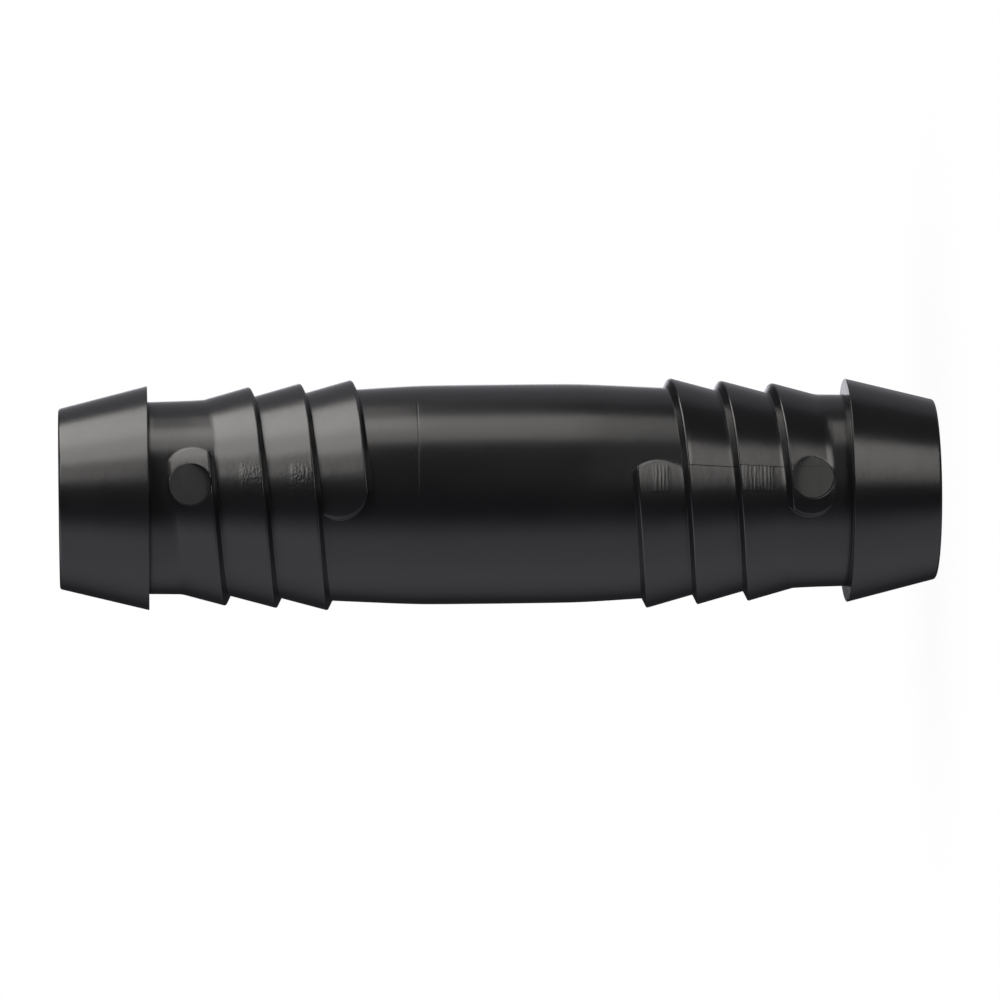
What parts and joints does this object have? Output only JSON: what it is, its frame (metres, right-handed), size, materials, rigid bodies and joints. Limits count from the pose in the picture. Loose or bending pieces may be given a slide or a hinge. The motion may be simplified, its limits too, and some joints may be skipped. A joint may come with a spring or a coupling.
{
  "type": "barbed hose connector",
  "caption": "Straight moulded plastic connector that joins two hoses end to end, with a tip cone and a helical barb on each tail and a plain bore through it.",
  "frame": {"origin": "centre of the lower end face, on the bore axis; the connector stands on that face", "axes": "+Z along the bore from the lower to the upper tail; -Y is the front, where both helical barbs start and end and the ejector pins bear; +X completes the right-handed frame"},
  "size_m": [0.0276, 0.0277, 0.105],
  "materials": {
    "body": "black moulded polypropylene, smooth with a soft satin sheen"
  },
  "bodies": {
    "root": {"connector_body": "body"}
  },
  "joints": []
}
